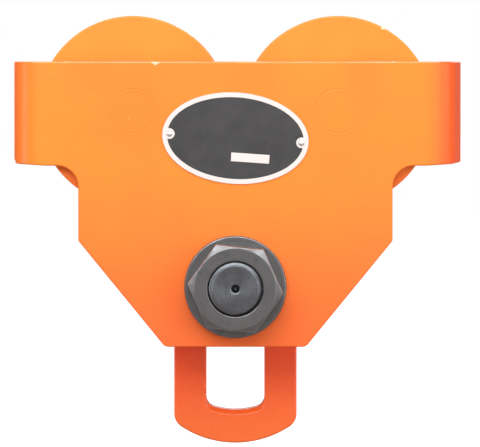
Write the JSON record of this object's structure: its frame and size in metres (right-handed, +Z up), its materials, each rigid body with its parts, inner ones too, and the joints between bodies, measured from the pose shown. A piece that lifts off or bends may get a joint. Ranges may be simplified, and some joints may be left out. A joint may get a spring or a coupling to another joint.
{
  "type": "chain hoist trolley",
  "caption": "Push trolley that runs on the lower flange of an I-beam on flanged ball-bearing wheels, with a swinging link for a chain hoist's hook.",
  "frame": {"origin": "on the beam's centre line, at the height where the wheel treads meet the flange", "axes": "+X along the beam, +Y across it away from the side plate with the nameplate, +Z up"},
  "size_m": [0.3396, 0.264, 0.3235],
  "materials": {
    "plate_paint": "orange gloss enamel on rolled steel plate",
    "wheel_paint": "orange enamel on turned steel",
    "axle_paint": "orange enamel on the welded spigot, bright oiled steel inside",
    "link_paint": "orange-red enamel on flame-cut plate",
    "black_steel": "black-oxide turned steel, oiled",
    "spacer_steel": "dark turned steel",
    "bearing_steel": "ground bearing steel",
    "ball_steel": "polished bearing steel",
    "cage_steel": "pressed steel cage",
    "shield_steel": "pressed steel shield",
    "spring_steel": "phosphated spring steel",
    "nameplate": "printed aluminium with a bare white rim",
    "rivet": "bright aluminium"
  },
  "bodies": {
    "frame": {"side_plate_front": "plate_paint", "side_plate_rear": "plate_paint", "load_bolt_nut_front": "black_steel", "load_bolt_nut_rear": "black_steel", "outer_washers_front": "black_steel", "outer_washers_rear": "black_steel", "link_spacers_front": "spacer_steel", "link_spacers_rear": "spacer_steel", "load_bolt": "black_steel", "nameplate": "nameplate", "nameplate_rivets": "rivet", "axle_front_left": "axle_paint", "bearing_inner_ring_front_left": "bearing_steel", "axle_snap_ring_front_left": "spring_steel", "axle_front_right": "axle_paint", "bearing_inner_ring_front_right": "bearing_steel", "axle_snap_ring_front_right": "spring_steel", "axle_rear_left": "axle_paint", "bearing_inner_ring_rear_left": "bearing_steel", "axle_snap_ring_rear_left": "spring_steel", "axle_rear_right": "axle_paint", "bearing_inner_ring_rear_right": "bearing_steel", "axle_snap_ring_rear_right": "spring_steel"},
    "link": {"suspension_link": "link_paint"},
    "wheel_front_left": {"wheel_front_left": "wheel_paint", "bearing_outer_ring_front_left": "bearing_steel", "bearing_shields_front_left": "shield_steel", "wheel_snap_ring_front_left": "spring_steel"},
    "cage_front_left": {"bearing_cage_front_left": "cage_steel", "bearing_balls_front_left": "ball_steel"},
    "wheel_front_right": {"wheel_front_right": "wheel_paint", "bearing_outer_ring_front_right": "bearing_steel", "bearing_shields_front_right": "shield_steel", "wheel_snap_ring_front_right": "spring_steel"},
    "cage_front_right": {"bearing_cage_front_right": "cage_steel", "bearing_balls_front_right": "ball_steel"},
    "wheel_rear_left": {"wheel_rear_left": "wheel_paint", "bearing_outer_ring_rear_left": "bearing_steel", "bearing_shields_rear_left": "shield_steel", "wheel_snap_ring_rear_left": "spring_steel"},
    "cage_rear_left": {"bearing_cage_rear_left": "cage_steel", "bearing_balls_rear_left": "ball_steel"},
    "wheel_rear_right": {"wheel_rear_right": "wheel_paint", "bearing_outer_ring_rear_right": "bearing_steel", "bearing_shields_rear_right": "shield_steel", "wheel_snap_ring_rear_right": "spring_steel"},
    "cage_rear_right": {"bearing_cage_rear_right": "cage_steel", "bearing_balls_rear_right": "ball_steel"}
  },
  "joints": [
    {"name": "link_swing", "type": "hinge", "parent": "frame", "child": "link", "pos_m": [0, 0, -0.0735], "axis": [0, 1, 0], "range_deg": [-90, 90]},
    {"name": "front_left_wheel_spin", "type": "hinge", "parent": "frame", "child": "wheel_front_left", "pos_m": [-0.0765, -0.054, 0.057], "axis": [0, 1, 0], "continuous": true},
    {"name": "front_left_cage_spin", "type": "hinge", "parent": "frame", "child": "cage_front_left", "pos_m": [-0.0765, -0.054, 0.057], "axis": [0, 1, 0], "continuous": true},
    {"name": "front_right_wheel_spin", "type": "hinge", "parent": "frame", "child": "wheel_front_right", "pos_m": [0.0765, -0.054, 0.057], "axis": [0, 1, 0], "continuous": true},
    {"name": "front_right_cage_spin", "type": "hinge", "parent": "frame", "child": "cage_front_right", "pos_m": [0.0765, -0.054, 0.057], "axis": [0, 1, 0], "continuous": true},
    {"name": "rear_left_wheel_spin", "type": "hinge", "parent": "frame", "child": "wheel_rear_left", "pos_m": [-0.0765, 0.054, 0.057], "axis": [0, 1, 0], "continuous": true},
    {"name": "rear_left_cage_spin", "type": "hinge", "parent": "frame", "child": "cage_rear_left", "pos_m": [-0.0765, 0.054, 0.057], "axis": [0, 1, 0], "continuous": true},
    {"name": "rear_right_wheel_spin", "type": "hinge", "parent": "frame", "child": "wheel_rear_right", "pos_m": [0.0765, 0.054, 0.057], "axis": [0, 1, 0], "continuous": true},
    {"name": "rear_right_cage_spin", "type": "hinge", "parent": "frame", "child": "cage_rear_right", "pos_m": [0.0765, 0.054, 0.057], "axis": [0, 1, 0], "continuous": true}
  ],
  "couplings": [
    {"joint": "front_left_cage_spin", "follows": "front_left_wheel_spin", "ratio": 0.61765},
    {"joint": "front_right_cage_spin", "follows": "front_right_wheel_spin", "ratio": 0.61765},
    {"joint": "rear_left_cage_spin", "follows": "rear_left_wheel_spin", "ratio": 0.61765},
    {"joint": "rear_right_cage_spin", "follows": "rear_right_wheel_spin", "ratio": 0.61765}
  ]
}
